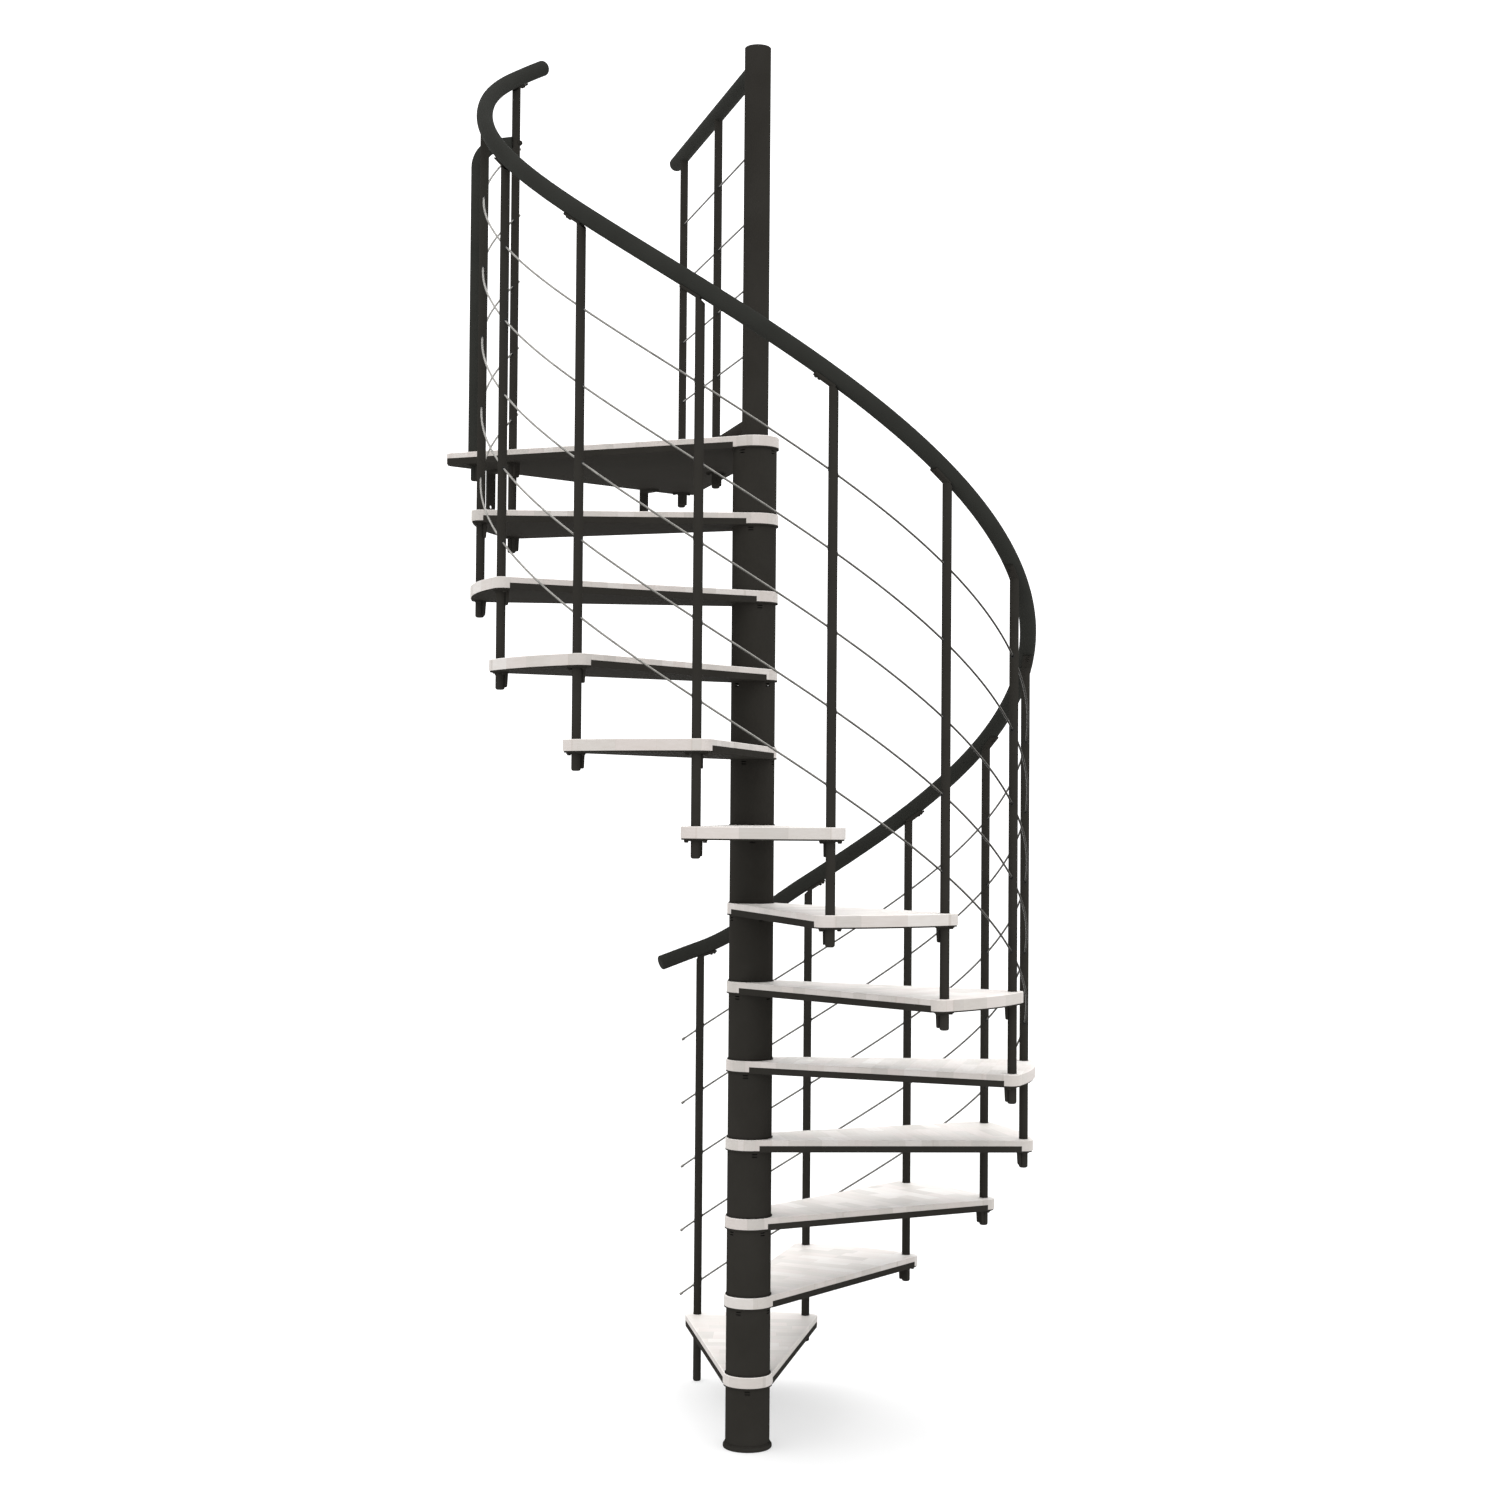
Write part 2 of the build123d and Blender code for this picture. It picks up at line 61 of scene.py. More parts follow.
# Railing
BALUSTER_CIRCLE = 0.774
BALUSTER_RADIUS = 0.0125
POLE_RADIUS = 0.0375
END_POST_CIRCLE = 0.900
CLIMB = math.atan(RISE / (BALUSTER_CIRCLE * math.radians(STEP_ANGLE)))
RAIL_HEIGHT = 1.140
RAIL_EASE = {1: 0.007, LANDING: -0.024}
RAIL_SLOPE_SHARES = {1: 0.58, LANDING: 0.82}
SADDLE_DROP = 0.0288
SADDLE_SCREWS = (0.028, 0.038)
PLATE_THICKNESS = 0.003
PLATE_SCREW_SPREAD = 0.024
BAR_HEIGHT = 0.923

# Cables
CABLE_COUNT = 5
CABLE_LOW = 0.100
CABLE_HIGH = 0.896
CABLE_RADIUS = 0.0030
CABLE_START = 0.058
CABLE_END = 0.022
GUARD_CABLE_COUNT = 4
GUARD_CABLE_LOW = 0.260
GUARD_CABLE_HIGH = 0.838
GUARD_NEAR = 0.467
GUARD_FAR = 0.930
STRANDS = 6
LAY_LENGTH = 0.036
RINGS_PER_LAY = 12

# Camera, matched to the photograph
CAMERA_PLACE = Vector((0.0858, -6.5951, 1.7854))
CAMERA_YAW = -0.8094
CAMERA_PITCH = 1.524
CAMERA_ROLL = 0.4473
CAMERA_LENS = 55.84
SENSOR_WIDTH = 36.0


def tread_top(number):
    """Height of a tread's walking surface, the landing being the last."""
    return FIRST_TOP + (number - 1) * RISE


def tread_angle(number):
    """Direction of a tread's centre line, seen from above."""
    return START_ANGLE - (number - 1) * STEP_ANGLE


def baluster_angle(number):
    """Direction of the baluster at a tread's nosing."""
    return tread_angle(number) + STEP_ANGLE / 2


LANDING_ANGLE = baluster_angle(LANDING) - LANDING_HALF_TURN
GUARD_ANGLE = LANDING_ANGLE - LANDING_HALF_TURN


def outward(angle):
    """Level direction away from the column."""
    return Vector((math.cos(math.radians(angle)), math.sin(math.radians(angle)), 0.0))


def polar(radius, angle, height):
    """Point at a distance and direction from the column."""
    return outward(angle) * radius + Vector((0.0, 0.0, height))


def uphill(angle, slope=CLIMB):
    """Direction of the railing's climb where it passes a baluster."""
    level = outward(angle - 90.0) * math.cos(slope)
    return level + Vector((0.0, 0.0, math.sin(slope)))


def spread(low, high, count):
    """Values spread evenly from a lowest to a highest one."""
    return [low + (high - low) * index / (count - 1) for index in range(count)]


def axes_at(place, z_axis, x_hint):
    """Matrix at a place whose Z follows an axis and whose X leans towards a hint."""
    z_axis = z_axis.normalized()
    y_axis = z_axis.cross(x_hint).normalized()
    x_axis = y_axis.cross(z_axis)
    matrix = Matrix((x_axis, y_axis, z_axis)).transposed().to_4x4()
    matrix.translation = place
    return matrix


class Nodes:
    """Short hand for building one node material."""

    def __init__(self, name):
        self.material = bpy.data.materials.new(name)
        self.material.use_nodes = True
        self.tree = self.material.node_tree
        self.shader = self.tree.nodes["Principled BSDF"]

    def add(self, kind, inputs=None, **settings):
        """New node with settings and inputs; an input may be a value or a socket."""
        node = self.tree.nodes.new(kind)
        for key, value in settings.items():
            setattr(node, key, value)
        for key, value in (inputs or {}).items():
            self.feed(node.inputs[key], value)
        return node

    def feed(self, socket, value):
        """Links a socket, or sets a plain value."""
        if isinstance(value, bpy.types.NodeSocket):
            self.tree.links.new(value, socket)
        else:
            socket.default_value = value

    def math(self, operation, *values):
        """Result of one math node."""
        return self.add("ShaderNodeMath", dict(enumerate(values)), operation=operation).outputs[0]

    def ramp(self, factor, stops):
        """Colour ramp with stops given as position and colour."""
        node = self.add("ShaderNodeValToRGB", {"Fac": factor})
        elements = node.color_ramp.elements
        while len(elements) < len(stops):
            elements.new(1.0)
        for element, (position, color) in zip(elements, stops):
            element.position = position
            element.color = (*color, 1.0)
        return node.outputs["Color"]

    def multiply(self, color, layer):
        """Product of two colours."""
        mix = self.add("ShaderNodeMix", data_type="RGBA", blend_type="MULTIPLY")
        self.feed(mix.inputs["Factor"], 1.0)
        self.feed(mix.inputs[6], color)
        self.feed(mix.inputs[7], layer)
        return mix.outputs[2]

    def map_range(self, value, source, target):
        """Value carried from one range to another."""
        inputs = {"Value": value, "From Min": source[0], "From Max": source[1]}
        inputs.update({"To Min": target[0], "To Max": target[1]})
        return self.add("ShaderNodeMapRange", inputs).outputs["Result"]

    def rise_of_normal(self):
        """Upward share of the surface's direction."""
        normal = self.add("ShaderNodeNewGeometry").outputs["Normal"]
        return self.add("ShaderNodeSeparateXYZ", {"Vector": normal}).outputs["Z"]

    def cell_edge(self, place, width):
        """One near the border of unit cells and zero inside them."""
        edge = self.math("ABSOLUTE", self.math("SUBTRACT", self.math("FRACT", place), 0.5))
        return self.math("GREATER_THAN", edge, 0.5 - width)

    def noise(self, vector, scale, detail=3.0, roughness=0.5):
        """Value of a noise texture."""
        inputs = {"Vector": vector, "Scale": scale, "Detail": detail, "Roughness": roughness}
        return self.add("ShaderNodeTexNoise", inputs).outputs["Fac"]

    def bump(self, height, strength, distance):
        """Links a height to the shader's normal."""
        node = self.add("ShaderNodeBump", {"Height": height, "Strength": strength, "Distance": distance})
        self.tree.links.new(node.outputs["Normal"], self.shader.inputs["Normal"])

    def finish(self, **inputs):
        """Feeds the shader and returns the material."""
        for key, value in inputs.items():
            self.feed(self.shader.inputs[key.replace("_", " ")], value)
        return self.material


# Range of a noise texture in which colours and gloss change, and the detail of fine grains
TONE_LOW = 0.3
TONE_HIGH = 0.7
FINE_DETAIL = 2.0
WHITE = (1.0, 1.0, 1.0)

# Powder coat
CLOUD_SCALE = 9.0
CLOUD_SHARE = 0.7
PEEL_SCALE = 620.0
PEEL_SHARE = 0.3
PEEL_STRENGTH = 0.22
PEEL_DEPTH = 0.0004


def powder_coat(name, dark, light, gloss_range, specular):
    """Black coating with a fine orange-peel surface and faint cloudy tone."""
    nodes = Nodes(name)
    place = nodes.add("ShaderNodeTexCoord").outputs["Object"]
    cloud = nodes.math("MULTIPLY", nodes.noise(place, CLOUD_SCALE), CLOUD_SHARE)
    fine = nodes.noise(place, PEEL_SCALE, FINE_DETAIL)
    tone = nodes.math("ADD", cloud, nodes.math("MULTIPLY", fine, PEEL_SHARE))
    color = nodes.ramp(tone, [(TONE_LOW, dark), (TONE_HIGH, light)])
    gloss = nodes.map_range(tone, (TONE_LOW, TONE_HIGH), gloss_range)
    nodes.bump(fine, PEEL_STRENGTH, PEEL_DEPTH)
    nodes.feed(nodes.shader.inputs["Specular IOR Level"], specular)
    return nodes.finish(Base_Color=color, Roughness=gloss)


# Cable steel, with painted shade on its downward-facing side
PATCH_SCALE = 55.0
PATCH_DARK = (0.30, 0.292, 0.273)
PATCH_LIGHT = (0.46, 0.448, 0.420)
# Painted shade: dark tone of downward-facing surfaces, and the range of the normal's upward share over
# which it fades to full tone
CABLE_PAINTED_SHADE_TONE = (0.08, 0.078, 0.074)
CABLE_SHADE_NORMAL_RANGE = (-0.6, 0.9)
CABLE_GLOSS = (0.20, 0.34)
BRUSH_SCALE = 1900.0
BRUSH_STRENGTH = 0.15
BRUSH_DEPTH = 0.0002


def cable_steel():
    """Stainless wire: bright and slightly brushed, with greyer patches and painted shade that darkens its
    downward-facing side.
    """
    nodes = Nodes("cable_steel")
    place = nodes.add("ShaderNodeTexCoord").outputs["Object"]
    patch = nodes.noise(place, PATCH_SCALE)
    tone = nodes.ramp(patch, [(TONE_LOW, PATCH_DARK), (TONE_HIGH, PATCH_LIGHT)])
    # Painted shade: colour runs from a dark tone on downward-facing surfaces to full tone on
    # upward-facing ones
    lift = nodes.map_range(nodes.rise_of_normal(), CABLE_SHADE_NORMAL_RANGE, (0.0, 1.0))
    color = nodes.multiply(tone, nodes.ramp(lift, [(0.0, CABLE_PAINTED_SHADE_TONE), (1.0, WHITE)]))
    gloss = nodes.map_range(patch, (0.0, 1.0), CABLE_GLOSS)
    nodes.bump(nodes.noise(place, BRUSH_SCALE, FINE_DETAIL), BRUSH_STRENGTH, BRUSH_DEPTH)
    return nodes.finish(Base_Color=color, Roughness=gloss, Metallic=1.0)


# White-washed boards: staves, their blocks and the lines between them
STAVE_WIDTH = 0.046
BLOCK_LENGTH = 0.115
BLOCK_LEAST_SHARE = 0.7
BLOCK_SPREAD_SHARE = 0.6
BLOCK_SHIFT = 9.0
BOARD_SEED_STEP = 13.7
LINE_WIDTH = 0.0005
LINE_TONE = (0.93, 0.915, 0.90)
BLOCK_TONES = [
    (0.0, (0.702, 0.675, 0.648)),
    (0.35, (0.780, 0.752, 0.722)),
    (0.7, (0.808, 0.758, 0.734)),
    (1.0, (0.875, 0.853, 0.832)),
]

# Grain, blotches, and painted shade that darkens the sides of the boards
GRAIN_ACROSS = 230.0
GRAIN_ALONG = 13.0
GRAIN_SHIFT = 40.0
GRAIN_DETAIL = 5.0
GRAIN_ROUGHNESS = 0.6
GRAIN_TONES = [(0.30, (0.945, 0.935, 0.92)), (0.62, WHITE)]
GRAIN_STRENGTH = 0.12
GRAIN_DEPTH = 0.0005
BLOTCH_SCALE = 11.0
BLOTCH_TONES = [(TONE_LOW, (0.965, 0.955, 0.945)), (TONE_HIGH, WHITE)]
# Painted shade: tone of faces that point sideways, against white for tops and undersides
SIDE_PAINTED_SHADE_TONES = [(0.25, (0.58, 0.57, 0.563)), (0.85, WHITE)]
WOOD_GLOSS = (0.58, 0.42)
WOOD_SPECULAR = 0.3


def white_wood(name, angle, seed):
    """White-washed board of finger-jointed staves that lie across a tread's centre line, with painted
    shade on its sides.
    """
    nodes = Nodes(name)
    place = nodes.add("ShaderNodeTexCoord").outputs["Object"]
    turn = (0.0, 0.0, -math.radians(angle))
    turned = nodes.add("ShaderNodeMapping", {"Vector": place, "Rotation": turn}, vector_type="POINT")
    along = nodes.add("ShaderNodeSeparateXYZ", {"Vector": turned.outputs["Vector"]})
    across, run, height = along.outputs["X"], along.outputs["Y"], along.outputs["Z"]

    row_place = nodes.math("DIVIDE", across, STAVE_WIDTH)
    row_seed = nodes.math("ADD", nodes.math("FLOOR", row_place), seed * BOARD_SEED_STEP)
    row_noise = nodes.add("ShaderNodeTexWhiteNoise", {"W": row_seed}, noise_dimensions="1D")
    row_chance = row_noise.outputs["Value"]
    block_spread = nodes.math("MULTIPLY", row_chance, BLOCK_SPREAD_SHARE)
    block_share = nodes.math("ADD", block_spread, BLOCK_LEAST_SHARE)
    block = nodes.math("MULTIPLY", block_share, BLOCK_LENGTH)
    block_shift = nodes.math("MULTIPLY", row_chance, BLOCK_SHIFT)
    column_place = nodes.math("ADD", nodes.math("DIVIDE", run, block), block_shift)
    column = nodes.math("FLOOR", column_place)
    cell = nodes.add("ShaderNodeCombineXYZ", {"X": row_seed, "Y": column, "Z": seed}).outputs["Vector"]
    cell_noise = nodes.add("ShaderNodeTexWhiteNoise", {"Vector": cell}, noise_dimensions="3D")
    chance = cell_noise.outputs["Value"]

    shift = nodes.math("MULTIPLY", chance, GRAIN_SHIFT)
    grain_axes = {
        "X": nodes.math("MULTIPLY", across, GRAIN_ACROSS),
        "Y": nodes.math("ADD", nodes.math("MULTIPLY", run, GRAIN_ALONG), shift),
        "Z": nodes.math("MULTIPLY", height, GRAIN_ACROSS),
    }
    grain_place = nodes.add("ShaderNodeCombineXYZ", grain_axes).outputs["Vector"]
    grain = nodes.noise(grain_place, 1.0, GRAIN_DETAIL, GRAIN_ROUGHNESS)

    row_line = nodes.cell_edge(row_place, LINE_WIDTH / STAVE_WIDTH)
    column_line = nodes.cell_edge(column_place, LINE_WIDTH / BLOCK_LENGTH)
    line = nodes.math("MAXIMUM", row_line, column_line)
    # Painted shade: surfaces that face sideways get a darker tone than tops and undersides
    side_shade_mask = nodes.math("ABSOLUTE", nodes.rise_of_normal())

    color = nodes.ramp(chance, BLOCK_TONES)
    for layer in (
        nodes.ramp(grain, GRAIN_TONES),
        nodes.ramp(nodes.noise(place, BLOTCH_SCALE), BLOTCH_TONES),
        nodes.ramp(line, [(0.0, WHITE), (1.0, LINE_TONE)]),
        nodes.ramp(side_shade_mask, SIDE_PAINTED_SHADE_TONES),
    ):
        color = nodes.multiply(color, layer)
    gloss = nodes.map_range(grain, (0.0, 1.0), WOOD_GLOSS)
    nodes.bump(grain, GRAIN_STRENGTH, GRAIN_DEPTH)
    nodes.feed(nodes.shader.inputs["Specular IOR Level"], WOOD_SPECULAR)
    return nodes.finish(Base_Color=color, Roughness=gloss)


# Plastic of the grommets
SPECKLE_SCALE = 900.0
SPECKLE_TONES = [(TONE_LOW, (0.006, 0.006, 0.006)), (TONE_HIGH, (0.014, 0.014, 0.013))]
SPECKLE_STRENGTH = 0.1
SPECKLE_DEPTH = 0.0003
PLASTIC_GLOSS = (0.5, 0.7)
PLASTIC_SPECULAR = 0.2


def grommet_black():
    """Dull black moulded plastic of the cable grommets."""
    nodes = Nodes("grommet_black")
    place = nodes.add("ShaderNodeTexCoord").outputs["Object"]
    speckle = nodes.noise(place, SPECKLE_SCALE, FINE_DETAIL)
    color = nodes.ramp(speckle, SPECKLE_TONES)
    gloss = nodes.map_range(speckle, (0.0, 1.0), PLASTIC_GLOSS)
    nodes.bump(speckle, SPECKLE_STRENGTH, SPECKLE_DEPTH)
    nodes.feed(nodes.shader.inputs["Specular IOR Level"], PLASTIC_SPECULAR)
    return nodes.finish(Base_Color=color, Roughness=gloss)


COATING = powder_coat(
    "coated_steel",
    dark=(0.0208, 0.0193, 0.0168),
    light=(0.0262, 0.0246, 0.0217),
    gloss_range=(0.66, 0.78),
    specular=0.002,
)
RAIL_COATING = powder_coat(
    "rail_coating",
    dark=(0.0196, 0.0199, 0.0177),
    light=(0.0246, 0.0251, 0.0224),
    gloss_range=(0.62, 0.72),
    specular=0.006,
)
CABLE = cable_steel()
GROMMET = grommet_black()
FINISHES = {"coated_steel": COATING, "rail_coating": RAIL_COATING, "cable_steel": CABLE}


def dress_cad_nodes():
    """Gives every carried-over node its finish."""
    for subpart in frame["record"]["subparts"]:
        name, slot = subpart["node"], subpart["material_slot"]
        if slot == "white_wood":
            number = LANDING if name == "landing_board" else int(name[-2:])
            angle = LANDING_ANGLE if number == LANDING else tread_angle(number)
            material = white_wood(f"white_wood_{number:02d}", angle, number)
        else:
            material = FINISHES[slot]
        item = frame["nodes"][name]
        if not item.material_slots:
            item.data.materials.append(material)
        for place in item.material_slots:
            place.material = material


SMOOTH_ANGLE = 40.0
STRAND_SMOOTH_ANGLE = 75.0


class Shape:
    """Vertices and faces of one piece, gathered from many small forms."""

    def __init__(self):
        self.points = []
        self.faces = []

    def loft(self, rings, closed_loop=False):
        """Quads between rings of equal length, with end faces unless the rings close into a loop."""
        base = len(self.points)
        size = len(rings[0])
        for ring in rings:
            self.points.extend(ring)
        spans = len(rings) if closed_loop else len(rings) - 1
        for row in range(spans):
            low = base + row * size
            high = base + (row + 1) % len(rings) * size
            for index in range(size):
                after = (index + 1) % size
                self.faces.append((low + index, low + after, high + after, high + index))
        if not closed_loop:
            last = base + (len(rings) - 1) * size
            self.faces.append(tuple(range(base + size - 1, base - 1, -1)))
            self.faces.append(tuple(range(last, last + size)))

    def lathe(self, matrix, profile, sides, flat_sides=0):
        """Turned form along a matrix's Z; profile rows marked True get flat sides, as in a socket."""
        rings = []
        for radius, height, socket in profile:
            ring = []
            for index in range(sides):
                turn = 2 * math.pi * index / sides
                reach = radius
                if socket and flat_sides:
                    wedge = 2 * math.pi / flat_sides
                    reach = radius / math.cos((turn + wedge / 2) % wedge - wedge / 2)
                ring.append(matrix @ Vector((reach * math.cos(turn), reach * math.sin(turn), height)))
            rings.append(ring)
        self.loft(rings)

    def piece(self, name, material, replaced=None, smooth_angle=SMOOTH_ANGLE):
        """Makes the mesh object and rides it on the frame."""
        mesh = bpy.data.meshes.new(name)
        mesh.from_pydata(self.points, [], self.faces)
        mesh.validate()
        mesh.materials.append(material)
        mesh.shade_smooth()
        mesh.set_sharp_from_angle(angle=math.radians(smooth_angle))
        item = bpy.data.objects.new(name, mesh)
        bpy.context.scene.collection.objects.link(item)
        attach(item, "root")
        if replaced:
            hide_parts(replaced)


# Points of one strand's outline, as shares of its turn and of the cable's radius
STRAND_SHARES = ((0.0, 0.70), (0.33, 0.985), (0.67, 0.985))


def strand_profile():
    """Section of a stranded cable as turns and radii: a valley and two crest points to each strand."""
    section = []
    for strand in range(STRANDS):
        start = 2 * math.pi * strand / STRANDS
        for turn_share, radius_share in STRAND_SHARES:
            section.append((start + turn_share * 2 * math.pi / STRANDS, radius_share * CABLE_RADIUS))
    return section


def stranded_cable(name, length, locate, replaced):
    """Twisted cable along a path; locate gives the matrix at a distance, with Z along the cable."""
    section = strand_profile()
    rings = []
    count = math.ceil(length / LAY_LENGTH * RINGS_PER_LAY)
    for step in range(count + 1):
        distance = length * step / count
        twist = 2 * math.pi * distance / LAY_LENGTH
        matrix = locate(distance)
        ring = []
        for turn, radius in section:
            angle = turn + twist
            ring.append(matrix @ Vector((radius * math.cos(angle), radius * math.sin(angle), 0.0)))
        rings.append(ring)
    shape = Shape()
    shape.loft(rings)
    shape.piece(name, CABLE, replaced, smooth_angle=STRAND_SMOOTH_ANGLE)


def build_railing_cables():
    """Five cables that climb through the balusters as helices."""
    step_run = math.radians(STEP_ANGLE) * BALUSTER_CIRCLE / math.cos(CLIMB)
    length = CABLE_START + CABLE_END + TREAD_COUNT * step_run
    first = baluster_angle(1)
    for index, height in enumerate(spread(CABLE_LOW, CABLE_HIGH, CABLE_COUNT)):

        def locate(distance):
            run = distance - CABLE_START
            angle = first - math.degrees(run * math.cos(CLIMB) / BALUSTER_CIRCLE)
            place = polar(BALUSTER_CIRCLE, angle, FIRST_TOP + height + run * math.sin(CLIMB))
            return axes_at(place, uphill(angle), outward(angle))

        stranded_cable(f"railing_cable_{index + 1}", length, locate, "railing_cables")


def build_guard_cables():
    """Four straight cables from the column along the guard."""
    direction = outward(GUARD_ANGLE)
    length = GUARD_FAR + CABLE_END - POLE_RADIUS
    for index, height in enumerate(spread(GUARD_CABLE_LOW, GUARD_CABLE_HIGH, GUARD_CABLE_COUNT)):

        def locate(distance):
            place = polar(POLE_RADIUS + distance, GUARD_ANGLE, LANDING_TOP + height)
            return axes_at(place, direction, Vector((0.0, 0.0, 1.0)))

        stranded_cable(f"guard_cable_{index + 1}", length, locate, "guard_cables")


# Grommets
GROMMET_RING = 0.0044
GROMMET_BEAD = 0.0013
BEAD_DEPTH_SHARE = 0.7
GROMMET_SIDES = 20
BEAD_SIDES = 8


def add_grommet(shape, axis_place, direction, sideways, slope):
    """Rounded rim on a baluster's face where a cable leaves it, stretched for a cable that climbs."""
    stretch = 1 / math.cos(slope)
    lift = BALUSTER_RADIUS * math.tan(slope)
    rings = []
    for step in range(GROMMET_SIDES):
        turn = 2 * math.pi * step / GROMMET_SIDES
        ring = []
        for bead in range(BEAD_SIDES):
            bead_turn = 2 * math.pi * bead / BEAD_SIDES
            reach = GROMMET_RING + GROMMET_BEAD * math.cos(bead_turn)
            level = reach * math.cos(turn)
            rise = reach * math.sin(turn) * stretch
            depth = math.sqrt(BALUSTER_RADIUS**2 - level**2)
            depth = depth + GROMMET_BEAD * math.sin(bead_turn) * BEAD_DEPTH_SHARE
            place = axis_place + direction * depth + sideways * level
            ring.append(place + Vector((0.0, 0.0, lift + rise)))
        rings.append(ring)
    shape.loft(rings, closed_loop=True)


def build_grommets():
    """Rims on both faces of every baluster, for every cable."""
    rims = Shape()
    for number in range(1, LANDING + 1):
        angle = baluster_angle(number)
        for height in spread(CABLE_LOW, CABLE_HIGH, CABLE_COUNT):
            place = polar(BALUSTER_CIRCLE, angle, tread_top(number) + height)
            add_grommet(rims, place, outward(angle - 90.0), outward(angle), CLIMB)
            add_grommet(rims, place, outward(angle + 90.0), outward(angle), -CLIMB)
    for radius in (GUARD_NEAR, GUARD_FAR):
        for height in spread(GUARD_CABLE_LOW, GUARD_CABLE_HIGH, GUARD_CABLE_COUNT):
            place = polar(radius, GUARD_ANGLE, LANDING_TOP + height)
            add_grommet(rims, place, outward(GUARD_ANGLE), outward(GUARD_ANGLE + 90.0), 0.0)
            add_grommet(rims, place, outward(GUARD_ANGLE + 180.0), outward(GUARD_ANGLE + 90.0), 0.0)
    rims.piece("cable_grommets", GROMMET)


# Screw heads, with radius and height
SCREW_SIDES = 24
SOCKET_SIDES = 6
PLATE_SCREW = (0.0056, 0.0042)
PLATE_SCREW_TURN = 20.0
SADDLE_SCREW = (0.0042, 0.0032)
POST_SCREW = (0.0068, 0.0052)

# Pan head with a hexagon socket: shares of radius and height from seat to socket floor, flat-sided or not
SCREW_SHARES = (
    (0.94, 0.0, False),
    (1.0, 0.12, False),
    (0.985, 0.55, False),
    (0.86, 0.86, False),
    (0.68, 1.0, False),
    (0.48, 1.0, True),
    (0.48, 0.35, True),
    (0.12, 0.28, False),
)

# Washer of the end post's bolt
WASHER_SIDES = 32
WASHER_SINK = 0.0015
WASHER_HEIGHT = 0.0034
WASHER_PROFILE = (
    (0.0085, 0.0, False),
    (0.0085, 0.0028, False),
    (0.0078, WASHER_HEIGHT, False),
    (0.0045, WASHER_HEIGHT, False),
)


def add_screw(shape, matrix, size):
    """Screw head of a radius and height, standing on a matrix's origin."""
    radius, height = size
    profile = []
    for radius_share, height_share, flat_sided in SCREW_SHARES:
        profile.append((radius * radius_share, height * height_share, flat_sided))
    shape.lathe(matrix, profile, SCREW_SIDES, SOCKET_SIDES)


def build_plate_screws():
    """Two screws through every baluster holder, up into the board."""
    screws = Shape()
    spots = []
    for number in range(1, LANDING + 1):
        angle = baluster_angle(number)
        spots.append((BALUSTER_CIRCLE, angle, tread_top(number)))
        if number > 1:
            spots.append((BALUSTER_CIRCLE, angle, tread_top(number - 1)))
    spots.append((GUARD_NEAR, GUARD_ANGLE, LANDING_TOP))
    spots.append((GUARD_FAR, GUARD_ANGLE, LANDING_TOP))
    spots.append((END_POST_CIRCLE, baluster_angle(LANDING), LANDING_TOP))
    down = Vector((0.0, 0.0, -1.0))
    for radius, angle, top in spots:
        for side in (1, -1):
            place = polar(radius, angle, top - UNDER - PLATE_THICKNESS)
            place = place + outward(angle + 90.0) * side * PLATE_SCREW_SPREAD
            add_screw(screws, axes_at(place, down, outward(angle + PLATE_SCREW_TURN * side)), PLATE_SCREW)
    screws.piece("holder_screws", COATING)


def build_saddle_screws():
    """Two screws from below through the uphill end of every handrail saddle."""
    screws = Shape()
    for number in range(1, LANDING + 1):
        angle = baluster_angle(number)
        way = uphill(angle, CLIMB * RAIL_SLOPE_SHARES.get(number, 1.0))
        below = -way.cross(outward(angle))
        height = tread_top(number) + RAIL_HEIGHT + RAIL_EASE.get(number, 0.0)
        center = polar(BALUSTER_CIRCLE, angle, height)
        for reach in SADDLE_SCREWS:
            place = center + way * reach + below * SADDLE_DROP
            add_screw(screws, axes_at(place, below, outward(angle)), SADDLE_SCREW)
    screws.piece("saddle_screws", COATING)


def build_post_bolt():
    """Dome bolt and washer on the last baluster, holding the end post's bar."""
    bolt = Shape()
    angle = baluster_angle(LANDING)
    inward = -outward(angle)
    place = polar(BALUSTER_CIRCLE - BALUSTER_RADIUS, angle, LANDING_TOP + BAR_HEIGHT)
    matrix = axes_at(place - inward * WASHER_SINK, inward, Vector((0.0, 0.0, 1.0)))
    bolt.lathe(matrix, WASHER_PROFILE, WASHER_SIDES)
    add_screw(bolt, matrix @ Matrix.Translation((0.0, 0.0, WASHER_HEIGHT)), POST_SCREW)
    bolt.piece("post_bolt", COATING)


# Stage
FLOOR_REACH = 60.0
FLOOR_GLOW = 0.42
FLOOR_NOISE_SCALE = 2.0
FLOOR_TONES = [(TONE_LOW, (0.53, 0.53, 0.53)), (TONE_HIGH, (0.55, 0.55, 0.55))]
FLOOR_ROUGHNESS = 0.9
FLOOR_SPECULAR = 0.1
HORIZON_GLOW = 1.4
ZENITH_GLOW = 1.7

# Lights as power, angular softness and direction
LIGHTS = {
    "key_light": (0.2, 90.0, Vector((0.0, 0.10, -1.0))),
    "front_light": (0.30, 90.0, Vector((0.0, 1.0, -0.60))),
}


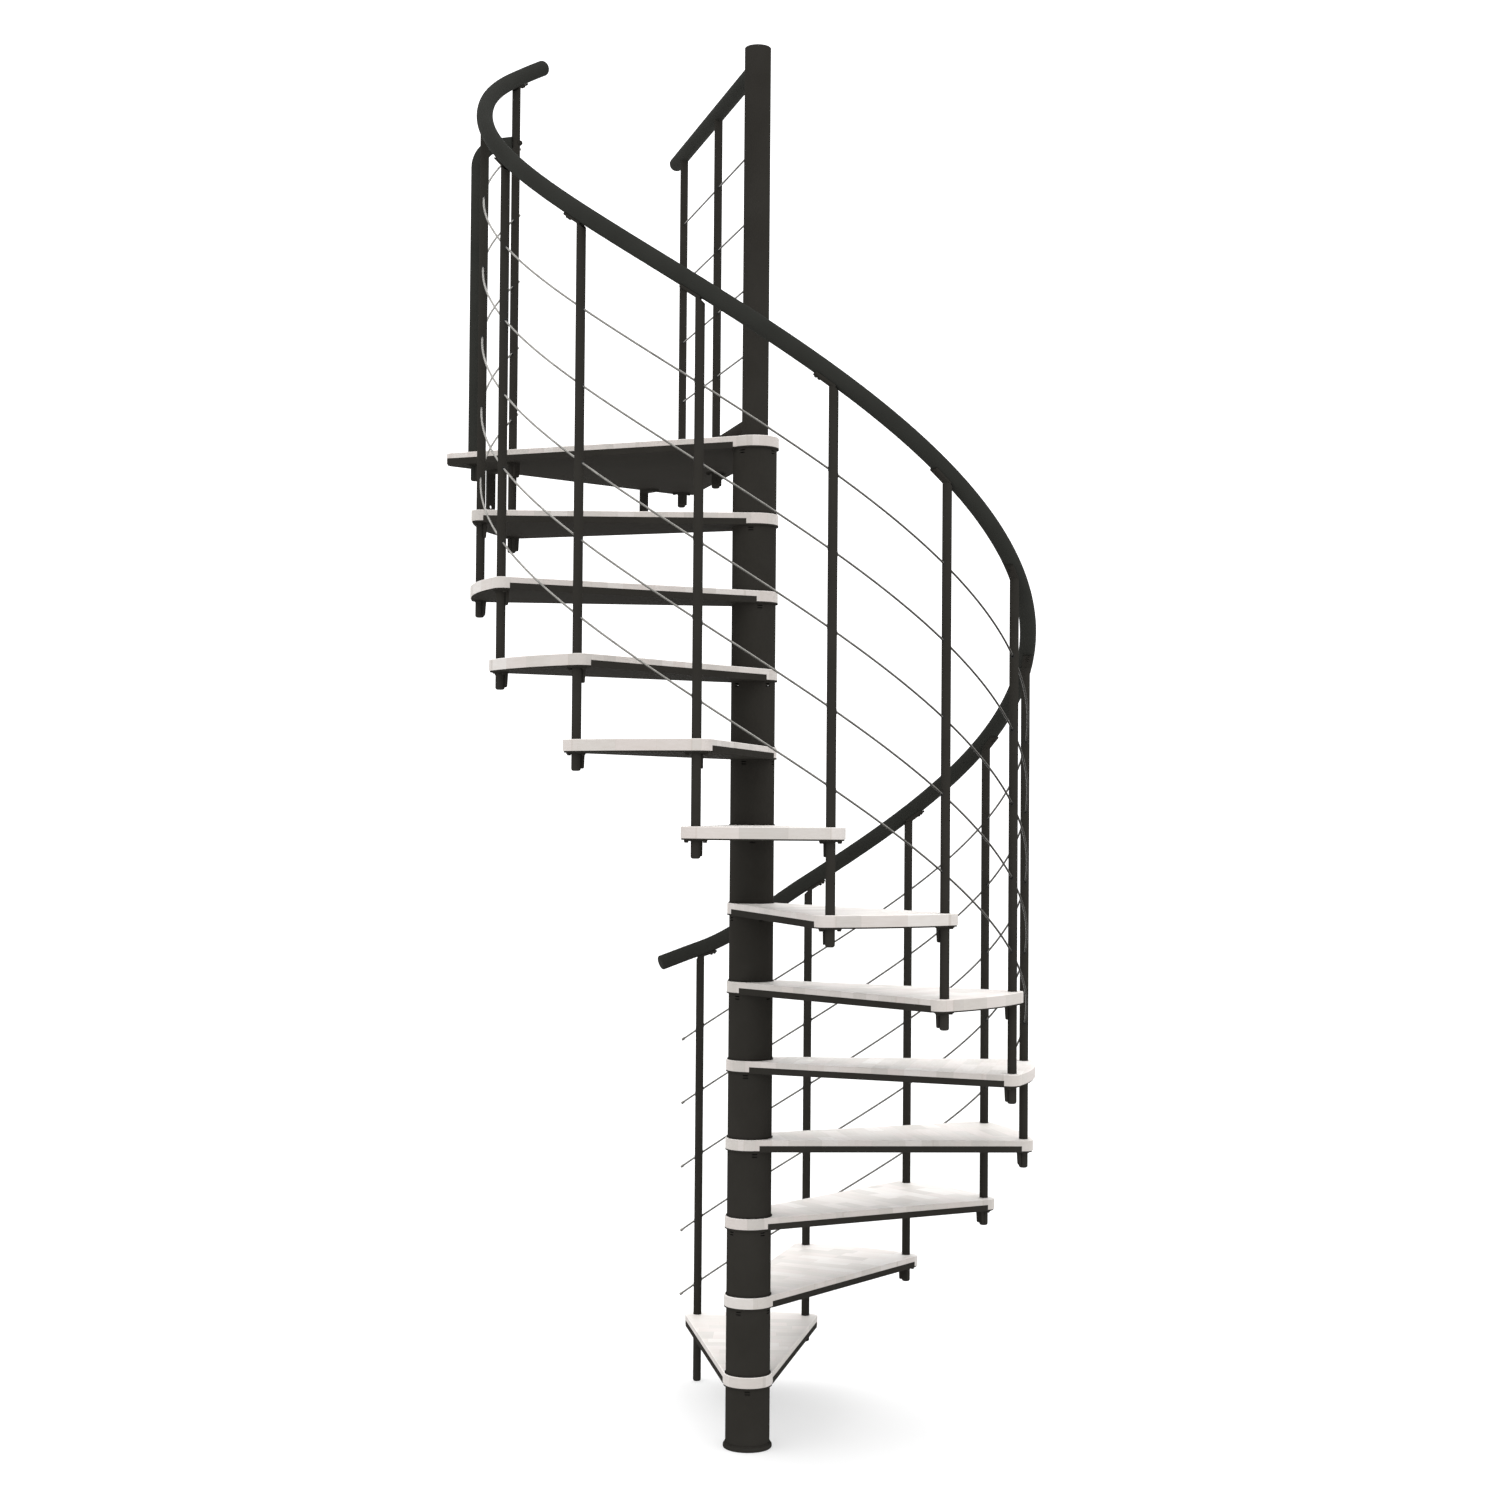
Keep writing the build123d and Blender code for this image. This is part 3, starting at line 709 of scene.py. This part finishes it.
def build_stage():
    """Pale floor lit from within, white surroundings that brighten overhead, and two soft lights."""
    mesh = bpy.data.meshes.new("floor")
    signs = ((-1, -1), (1, -1), (1, 1), (-1, 1))
    corners = [(x * FLOOR_REACH, y * FLOOR_REACH, 0.0) for x, y in signs]
    mesh.from_pydata(corners, [], [(0, 1, 2, 3)])
    floor = bpy.data.objects.new("floor", mesh)
    bpy.context.scene.collection.objects.link(floor)
    nodes = Nodes("floor_white")
    place = nodes.add("ShaderNodeTexCoord").outputs["Object"]
    tone = nodes.ramp(nodes.noise(place, FLOOR_NOISE_SCALE), FLOOR_TONES)
    nodes.feed(nodes.shader.inputs["Specular IOR Level"], FLOOR_SPECULAR)
    nodes.feed(nodes.shader.inputs["Emission Color"], (*WHITE, 1.0))
    nodes.feed(nodes.shader.inputs["Emission Strength"], FLOOR_GLOW)
    mesh.materials.append(nodes.finish(Base_Color=tone, Roughness=FLOOR_ROUGHNESS))

    scene = bpy.context.scene
    scene.view_settings.view_transform = "Standard"
    world = bpy.data.worlds.new("studio")
    world.use_nodes = True
    tree = world.node_tree
    way = tree.nodes.new("ShaderNodeTexCoord").outputs["Generated"]
    parts = tree.nodes.new("ShaderNodeSeparateXYZ")
    glow = tree.nodes.new("ShaderNodeMapRange")
    glow.inputs["To Min"].default_value = HORIZON_GLOW
    glow.inputs["To Max"].default_value = ZENITH_GLOW
    tree.links.new(way, parts.inputs["Vector"])
    tree.links.new(parts.outputs["Z"], glow.inputs["Value"])
    tree.links.new(glow.outputs["Result"], tree.nodes["Background"].inputs["Strength"])
    tree.nodes["Background"].inputs["Color"].default_value = (*WHITE, 1.0)
    scene.world = world
    for name, (power, softness, direction) in LIGHTS.items():
        data = bpy.data.lights.new(name, "SUN")
        data.energy = power
        data.angle = math.radians(softness)
        light = bpy.data.objects.new(name, data)
        light.rotation_mode = "QUATERNION"
        light.rotation_quaternion = direction.to_track_quat("-Z", "Y")
        scene.collection.objects.link(light)


def build_camera():
    """Camera at the photograph's place, from its yaw, pitch and roll."""
    yaw, pitch, roll = (math.radians(angle) for angle in (CAMERA_YAW, CAMERA_PITCH, CAMERA_ROLL))
    forward = Vector((math.sin(yaw) * math.cos(pitch), math.cos(yaw) * math.cos(pitch), math.sin(pitch)))
    level = Vector((math.cos(yaw), -math.sin(yaw), 0.0))
    above = level.cross(forward)
    right = level * math.cos(roll) + above * math.sin(roll)
    top = above * math.cos(roll) - level * math.sin(roll)
    data = bpy.data.cameras.new("camera")
    data.sensor_width = SENSOR_WIDTH
    data.lens = CAMERA_LENS
    camera = bpy.data.objects.new("camera", data)
    bpy.context.scene.collection.objects.link(camera)
    camera.matrix_world = Matrix((right, top, -forward)).transposed().to_4x4()
    camera.location = CAMERA_PLACE
    bpy.context.scene.camera = camera


dress_cad_nodes()
build_railing_cables()
build_guard_cables()
build_grommets()
build_plate_screws()
build_saddle_screws()
build_post_bolt()
build_stage()
build_camera()
